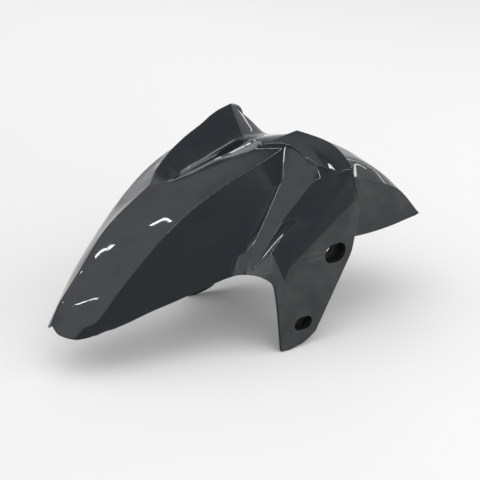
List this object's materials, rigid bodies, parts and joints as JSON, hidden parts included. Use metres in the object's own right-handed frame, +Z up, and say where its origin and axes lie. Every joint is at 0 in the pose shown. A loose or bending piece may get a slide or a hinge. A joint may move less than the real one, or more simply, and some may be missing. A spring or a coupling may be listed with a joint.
{
  "type": "motorcycle front mudguard",
  "caption": "One-piece moulded front mudguard with a split ridge, two shoulders that run down into bolted fork arms, and a narrower tail.",
  "frame": {"origin": "bottom centre of the part's bounding box, on the machine's centre plane, with the part in riding attitude; the wheel's axle would lie at x 0.0217, z -0.077", "axes": "+X to the rear of the machine, +Z up in riding attitude, +Y to the machine's right side"},
  "size_m": [0.53, 0.208, 0.269],
  "materials": {
    "shell": "glossy dark slate grey paint, plain and slightly scuffed on the arms and the tail's side walls"
  },
  "bodies": {
    "root": {"mudguard": "shell"}
  },
  "joints": []
}
